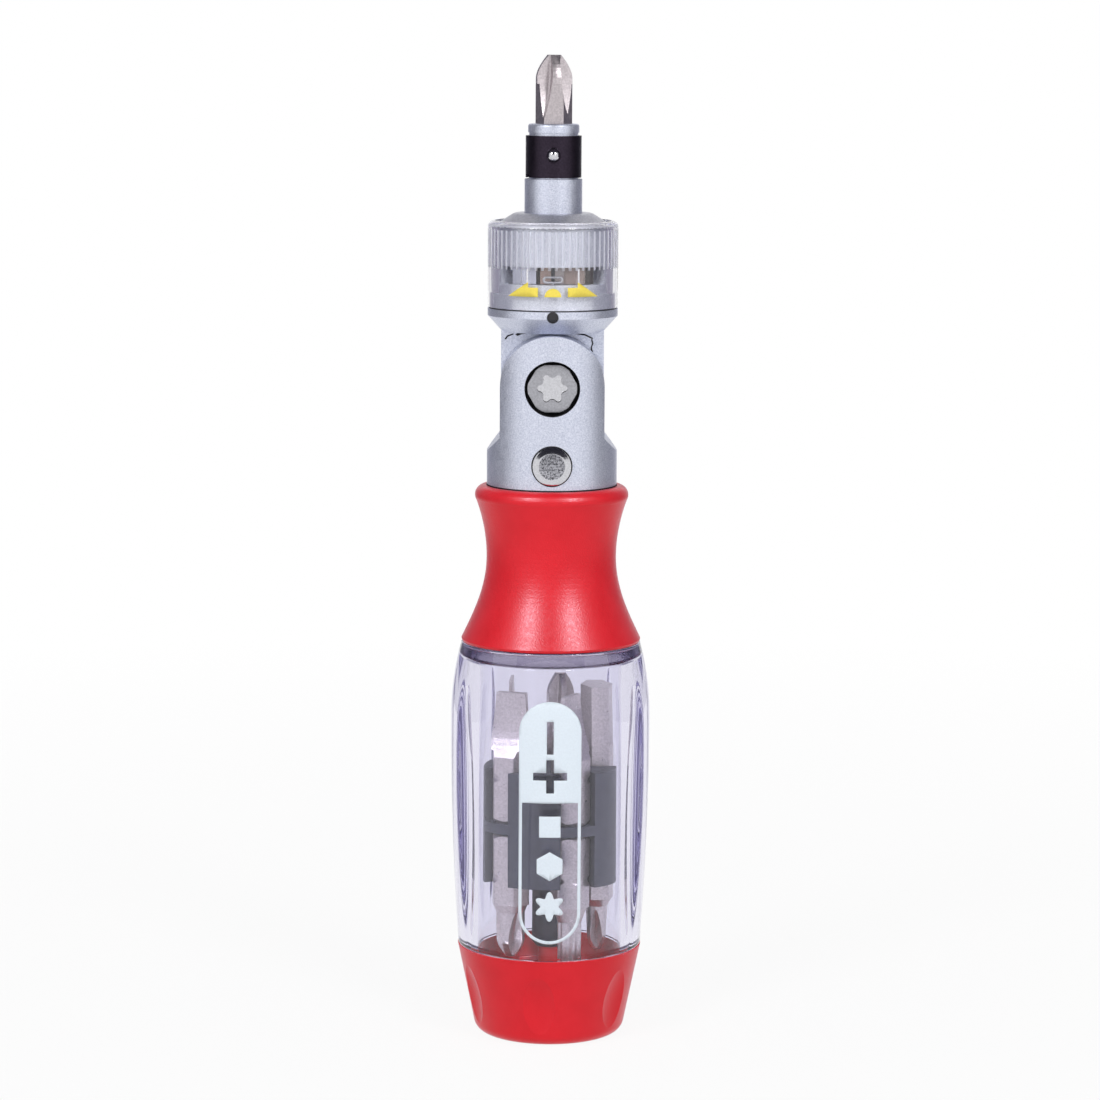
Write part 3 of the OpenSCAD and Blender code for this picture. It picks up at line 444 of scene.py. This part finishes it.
def turned(name, profile, columns, shape, loop=False):
    """A turned mesh. shape(row, r, z, a) gives the radius of each point."""
    verts, rows, faces = [], [], []
    for i, (r, z) in enumerate(profile):
        angles = columns if r > 0 else [0]
        rows.append(range(len(verts), len(verts) + len(angles)))
        verts += [place(a, shape(i, r, z, a) if r > 0 else 0, z) for a in angles]
    n = len(columns)
    for low, high in zip(rows, list(rows[1:]) + ([rows[0]] if loop else [])):
        for j in range(n):
            k = (j + 1) % n
            if len(low) == 1:
                faces.append((low[0], high[k], high[j]))
            elif len(high) == 1:
                faces.append((low[j], low[k], high[0]))
            else:
                faces.append((low[j], low[k], high[k], high[j]))
    mesh = bpy.data.meshes.new(name)
    mesh.from_pydata(verts, [], faces)
    mesh.validate()
    return mesh


def round_columns(n):
    """The angles of n columns round the axis."""
    return [math.tau * i / n for i in range(n)]


def arc(cr, cz, r, start, end, steps):
    """Points of a corner's arc, angles in degrees from +r towards +z."""
    turn = [math.radians(start + (end - start) * i / steps) for i in range(steps + 1)]
    return [(cr + r * math.cos(t), cz + r * math.sin(t)) for t in turn]


def line(p, q, steps):
    """Points between p and q, without p and q."""
    return [tuple(a + (b - a) * i / steps for a, b in zip(p, q)) for i in range(1, steps)]


# clear grip, in millimetres as in the solid
CAP_TOP, GRIP_FOOT, GRIP_TOP = 17.9, 17.95, 79.0
BELLY_Z, BELLY_R, FOOT_R, TOP_R = 63.7, 19.83, 18.25, 17.75
BORE_R, SPIGOT_R, SPIGOT_Z, CEILING_Z, CORNER_R = 14.2, 15.43, 12.9, 75.6, 0.8
# the grip stays a hair inside the solid, which leaves room for the print on it
PRINT_ROOM = 0.09
FLUTE_LOW, FLUTE_LEN, FLUTE_W, FLUTE_D, FLUTE_EDGE = 3.1, 51.5, 7.0, 1.75, 0.5
FLUTE_TURNS = [math.radians(t) for t in (60, 120, 240, 300)]
FLUTE_REACH = 0.4


def bow_radius(z):
    """Radius of the grip's bowed outline at a height."""
    end_z, end_r = (GRIP_FOOT, FOOT_R) if z < BELLY_Z else (GRIP_TOP, TOP_R)
    run, drop = abs(end_z - BELLY_Z), BELLY_R - end_r
    bend = (run * run + drop * drop) / (2 * drop)
    return BELLY_R - bend + math.sqrt(bend * bend - (z - BELLY_Z) ** 2)


def flute_barrel():
    """Distance of a flute's cutting barrel from the axis, and its radius at each height."""
    def slope_radius(z):
        if z < BELLY_Z:
            return BELLY_R - (BELLY_R - FOOT_R) * ((BELLY_Z - z) / (BELLY_Z - CAP_TOP)) ** 2
        return BELLY_R - (BELLY_R - TOP_R) * ((z - BELLY_Z) / (GRIP_TOP - BELLY_Z)) ** 2
    low = CAP_TOP + FLUTE_LOW
    high = low + FLUTE_LEN
    middle = (low + high) / 2
    depth_r = slope_radius(middle) - FLUTE_D
    rise = (slope_radius(low) - depth_r) / (middle - low)
    fall = (depth_r - slope_radius(high)) / (high - middle)
    curve = (rise - fall) / FLUTE_LEN
    deepest_z = (low + middle) / 2 + rise / (2 * curve)
    deepest_r = depth_r - curve * (middle - deepest_z) ** 2
    axis = depth_r + 1 / (8 * FLUTE_D / FLUTE_W ** 2 - 1 / slope_radius(middle))
    bend = 1 / (2 * curve)
    return axis, lambda z: axis - deepest_r - bend + math.sqrt(bend ** 2 - (z - deepest_z) ** 2)


FLUTE_AXIS, flute_radius = flute_barrel()


def soft_min(a, b, k):
    """The smaller of two values, with the corner between them rounded over about k."""
    h = max(k - abs(a - b), 0) / k
    return min(a, b) - h * h * k / 4


def fluted(r, z, a):
    """A radius of the outline at height z and angle a, less what the flutes take off."""
    for turn in FLUTE_TURNS:
        off = math.remainder(a - turn, math.tau)
        if abs(off) < FLUTE_REACH:
            room = flute_radius(z) ** 2 - (FLUTE_AXIS * math.sin(off)) ** 2
            if room > 0:
                r = soft_min(r, FLUTE_AXIS * math.cos(off) - math.sqrt(room), FLUTE_EDGE)
    return r


def grip():
    edge, rows = 0.35, 110
    outside = [GRIP_FOOT + edge + (GRIP_TOP - GRIP_FOOT - 2 * edge) * i / rows for i in range(rows + 1)]
    profile = [(0, CEILING_Z), (6, CEILING_Z)]
    profile += arc(BORE_R - CORNER_R, CEILING_Z - CORNER_R, CORNER_R, 90, 0, 6)
    profile += line((BORE_R, CEILING_Z - CORNER_R), (BORE_R, SPIGOT_Z), 12)
    profile += [(BORE_R, SPIGOT_Z), (SPIGOT_R, SPIGOT_Z), (SPIGOT_R, GRIP_FOOT)]
    first = len(profile) + 1
    profile += arc(bow_radius(outside[0]) - PRINT_ROOM - edge, GRIP_FOOT + edge, edge, -90, -15, 5)
    profile += [(bow_radius(z) - PRINT_ROOM, z) for z in outside]
    profile += arc(bow_radius(outside[-1]) - PRINT_ROOM - edge, GRIP_TOP - edge, edge, 15, 90, 5)
    last = len(profile) - 1
    profile += [(10, GRIP_TOP), (0, GRIP_TOP)]
    return turned("clear_grip", profile, round_columns(420),
                  lambda i, r, z, a: fluted(r, z, a) if first <= i < last else r)


clear_grip = shown("clear_grip", grip(), "handle", CLEAR, ["handle_body"])
clear_grip.visible_shadow = False
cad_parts["selector_ring"].visible_shadow = False
# its top, where the collar sits on it
clear_grip.data.materials.append(JOINT)
for face in clear_grip.data.polygons:
    if face.normal.z > 0.99 and face.center.z > (GRIP_TOP - 0.05) * MM:
        face.material_index = 1

NECK_FOOT, NECK_TOP, NECK_R, NECK_EDGE = GRIP_TOP + 0.02, 99, 10, 0.3
TANG_R, TANG_FOOT = 4.05, 83.7
neck = [(0, NECK_FOOT), (NECK_R - NECK_EDGE, NECK_FOOT), (NECK_R, GRIP_TOP + NECK_EDGE),
        (NECK_R, NECK_TOP - NECK_EDGE), (NECK_R - NECK_EDGE, NECK_TOP), (TANG_R, NECK_TOP),
        (TANG_R, TANG_FOOT), (0, TANG_FOOT)]
shown("clear_neck", turned("clear_neck", neck, round_columns(96), lambda i, r, z, a: r),
      "handle", CLEAR)


# the button's spring, which shortens towards its seat as the button goes in; here it is a fixed copy of
# the solid's coil on the handle
BUTTON_Z, SPRING_SEAT_Y, SPRING_KEPT = 115.0, 9.2, 0.62
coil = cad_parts["button_spring"].data.copy()
coil.materials.clear()
spring = shown("pressed_spring", coil, "handle", SCREW, ["button_spring"])
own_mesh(spring)


def gap_shade_ring(name, r, low, high, body):
    """A thin dark ring of painted shade in the gap where two pieces meet."""
    inside = r - 0.3
    profile = [(inside, low), (r, low), (r, high), (inside, high)]
    ring = turned(name, profile, round_columns(180), lambda i, r, z, a: r, loop=True)
    shown(name, ring, body, SHADOW)


# painted shade in the gap between the fork and the collar, and between the base ring and the selector
# ring
gap_shade_ring("collar_gap_shade", 12.84, 110.0, 110.28, "handle")
gap_shade_ring("ring_gap_shade", 12.5, 144.93, 145.17, "head")


# printed marks: flat outlines wrapped onto the surface that carries them

def printed(name, loops, wrap, body, look, cut=0.6, thick=0.05):
    """loops are outlines in (across, up) millimetres, holes and islands among them."""
    bm = bmesh.new()
    for points in loops:
        ring = [bm.verts.new((x, 0, z)) for x, z in points]
        for i, v in enumerate(ring):
            bm.edges.new((v, ring[(i + 1) % len(ring)]))
    bmesh.ops.triangle_fill(bm, use_beauty=True, edges=bm.edges[:])
    xs = [x for points in loops for x, z in points]
    zs = [z for points in loops for x, z in points]
    for axis, values in ((0, xs), (2, zs)):
        step = cut if axis == 0 else 3 * cut
        for i in range(1, int((max(values) - min(values)) / step) + 1):
            co, no = Vector(), Vector()
            co[axis], no[axis] = min(values) + i * step, 1
            everything = bm.verts[:] + bm.edges[:] + bm.faces[:]
            bmesh.ops.bisect_plane(bm, geom=everything, plane_co=co, plane_no=no)
    bmesh.ops.recalc_face_normals(bm, faces=bm.faces[:])
    if bm.faces[:] and sum(f.normal.y * f.calc_area() for f in bm.faces) > 0:
        bmesh.ops.reverse_faces(bm, faces=bm.faces[:])
    for v in bm.verts:
        v.co = wrap(v.co.x, v.co.z)
    mesh = bpy.data.meshes.new(name)
    bm.to_mesh(mesh)
    bm.free()
    skin = shown(name, mesh, body, look).modifiers.new("skin", "SOLIDIFY")
    skin.thickness = thick * MM
    skin.offset = 1


def moved(points, centre):
    return [(centre[0] + x, centre[1] + z) for x, z in points]


def polar(r, n):
    """n points round a centre, r(i) away from it."""
    return [(r(i) * math.sin(math.tau * i / n), r(i) * math.cos(math.tau * i / n)) for i in range(n)]


def half_round(r, z, start, steps=28):
    """Half a circle about (0, z)."""
    turns = [start + math.pi * i / steps for i in range(steps + 1)]
    return [(r * math.cos(t), z + r * math.sin(t)) for t in turns]


LABEL_LOW, LABEL_HIGH, LABEL_HALF = 21.6, 69.9, 6.05
LABEL_LINE, LABEL_SPLIT = 0.62, 49.9
LABEL_LIFT = 0.015


def label_outline():
    return (half_round(LABEL_HALF, LABEL_HIGH - LABEL_HALF, 0)
            + half_round(LABEL_HALF, LABEL_LOW + LABEL_HALF, math.pi))


def label_window():
    """The open lower part inside the label's outline."""
    half = LABEL_HALF - LABEL_LINE
    foot = half_round(half, LABEL_LOW + LABEL_HALF, math.pi)
    return foot + [(half, LABEL_SPLIT), (-half, LABEL_SPLIT)]


def bar(w, h):
    """A rectangle, w and h being half its sides."""
    return [(-w, -h), (w, -h), (w, h), (-w, h)]


def cross_profile(w, h):
    return [(-w, -h), (w, -h), (w, -w), (h, -w), (h, w), (w, w),
            (w, h), (-w, h), (-w, w), (-h, w), (-h, -w), (-w, -w)]


def on_grip(x, z):
    r = bow_radius(z) - PRINT_ROOM + LABEL_LIFT
    return place(math.asin(x / r), r, z)


# bit symbols: cut out of the white upper part, and white in the open lower part
SYMBOLS = [
    (62.8, bar(0.65, 3.2)),
    (55.2, cross_profile(0.75, 3.3)),
    (45.2, bar(2.1, 2.1)),
    (37.3, polar(lambda i: 2.9, 6)),
    (29.2, polar(lambda i: 2.4 + 0.6 * math.cos(math.tau * 6 * i / 72), 72)),
]
label_loops = [label_outline(), label_window()]
label_loops += [moved(points, (0, z)) for z, points in SYMBOLS]
printed("label", label_loops, on_grip, "handle", LABEL)

# arrows and dot on the selector ring
RING_R, MARK_LIFT = 12.77, 0.02


def on_ring(x, z):
    return place(x / RING_R, RING_R + MARK_LIFT, z)


def at(degrees):
    """The place across the front of the ring at an angle."""
    return math.radians(degrees) * RING_R


MARK_FOOT_Z, SHAFT_TOP_Z, HEAD_TOP_Z = 147.85, 149.65, 150.7
for side, word in ((-1, "left"), (1, "right")):
    tip, head, tail = at(42.5) * side, at(22) * side, at(13) * side
    arrow = [(tip, MARK_FOOT_Z), (head, HEAD_TOP_Z), (head, SHAFT_TOP_Z),
             (tail, SHAFT_TOP_Z), (tail, MARK_FOOT_Z)]
    printed("arrow_" + word, [arrow], on_ring, "selector", YELLOW, 0.5)
DOT_HALF, DOT_RISE, DOT_STEPS = 1.64, 1.65, 24
dot_turns = [math.pi * i / DOT_STEPS for i in range(DOT_STEPS + 1)]
dot = [(DOT_HALF * math.cos(t), MARK_FOOT_Z + DOT_RISE * math.sin(t)) for t in dot_turns]
printed("middle_dot", [dot], on_ring, "selector", YELLOW, 0.5)

# painted shade in the gap round the button
FORK_R, GAP_R, GAP_LIFT = 12.8, (4.0, 3.78), 0.01
gap = [moved(polar(lambda i: r, 60), (0, BUTTON_Z)) for r in GAP_R]
printed("button_gap_shade", gap, lambda x, z: place(math.asin(x / FORK_R), FORK_R + GAP_LIFT, z),
        "handle", SHADOW, 0.6, 0.03)

# painted shade: dark lines in the gap where the tongue meets the base ring
TONGUE_Y = -3.51
TONGUE_GAP_SHADE = [
    [(-9.4, 139.0), (-8.9, 139.7), (-7.7, 140.1), (-7.6, 139.9), (-8.7, 139.45), (-9.1, 138.9)],
    [(-7.3, 139.9), (-6.6, 140.3), (-4.2, 140.45), (-4.2, 140.2), (-6.0, 139.95), (-6.9, 139.6)],
    [(4.0, 140.3), (6.4, 140.05), (7.9, 139.3), (7.8, 139.05), (6.3, 139.75), (4.0, 140.1)],
    [(7.75, 139.1), (8.0, 138.2), (7.7, 137.4), (7.95, 136.4),
     (7.6, 136.4), (7.45, 137.4), (7.7, 138.2), (7.5, 139.0)],
]
printed("tongue_gap_shade", TONGUE_GAP_SHADE, lambda x, z: (x * MM, TONGUE_Y * MM, z * MM), "head", SHADOW, 2, 0.03)

# floor: it keeps the shadow and lets the white backdrop through, and the drawer too when that is
# drawn out below it
FLOOR_HALF, FLOOR_Z = 6, -0.0002
floor_mesh = bpy.data.meshes.new("floor")
floor_mesh.from_pydata([(x, y, 0) for x, y in bar(FLOOR_HALF, FLOOR_HALF)], [], [(0, 1, 2, 3)])
floor = bpy.data.objects.new("floor", floor_mesh)
scene.collection.objects.link(floor)
floor.location.z = FLOOR_Z
white = bpy.data.materials.new("floor_white")
white.use_nodes = True
fn, fl = white.node_tree.nodes, white.node_tree.links
fn["Principled BSDF"].inputs["Base Color"].default_value = (0.9, 0.9, 0.9, 1)
fn["Principled BSDF"].inputs["Roughness"].default_value = 0.9
open_floor = fn.new("ShaderNodeBsdfTransparent")
fmix = fn.new("ShaderNodeMixShader")
fcoord = fn.new("ShaderNodeTexCoord")
reach = fn.new("ShaderNodeVectorMath")
reach.operation = "LENGTH"
fl.new(fcoord.outputs["Object"], reach.inputs[0])
fade = graded(fn, fl, reach.outputs["Value"], 0.05, 0.5, 0.92, 1.0)
looking = any_ray(fn, fl, "Is Camera Ray", "Is Glossy Ray", "Is Transmission Ray", "Is Shadow Ray")
fl.new(product(fn, fl, looking, fade), fmix.inputs[0])
fl.new(fn["Principled BSDF"].outputs[0], fmix.inputs[1])
fl.new(open_floor.outputs[0], fmix.inputs[2])
fl.new(fmix.outputs[0], fn["Material Output"].inputs["Surface"])
floor.data.materials.append(white)

# screens beside, above and before the object, outside the view: dark in what the metal reflects,
# and a pale lavender in what the clear plastic bends
SCREENS = {
    "left": [(-0.5, -0.12, 0), (-0.2, 0.46, 0), (-0.2, 0.46, 0.8), (-0.5, -0.12, 0.8)],
    "right": [(0.5, -0.12, 0), (0.25, 0.46, 0), (0.25, 0.46, 0.8), (0.5, -0.12, 0.8)],
    "above": [(-0.9, -0.95, 0.95), (0.9, -0.95, 0.95), (0.9, 0.2, 0.95), (-0.9, 0.2, 0.95)],
    "front": [(-0.9, -0.95, 0.4), (0.9, -0.95, 0.4), (0.9, -0.95, 0.95), (-0.9, -0.95, 0.95)],
}
dim = Paint("screen_dim", srgb(52, 50, 62), 0.9)
depth = dim.nodes.new("ShaderNodeSeparateXYZ")
dim.link(dim.coords.outputs["Object"], depth.inputs[0])
dim.tint(depth.outputs["Y"], srgb(64, 62, 76), srgb(190, 188, 206), 0.1, 0.46)
bent = dim.nodes.new("ShaderNodeEmission")
bent.inputs["Color"].default_value = srgb(150, 147, 164)
pick = dim.nodes.new("ShaderNodeMixShader")
dim.link(any_ray(dim.nodes, dim.links, "Is Transmission Ray"), pick.inputs[0])
dim.link(dim.bsdf.outputs[0], pick.inputs[1])
dim.link(bent.outputs[0], pick.inputs[2])
dim.link(pick.outputs[0], dim.nodes["Material Output"].inputs["Surface"])
for word, corners in SCREENS.items():
    mesh = bpy.data.meshes.new("screen_" + word)
    mesh.from_pydata(corners, [], [(0, 1, 2, 3)])
    mesh.materials.append(dim.mat)
    screen = bpy.data.objects.new("screen_" + word, mesh)
    scene.collection.objects.link(screen)
    screen.visible_camera = screen.visible_diffuse = screen.visible_shadow = False
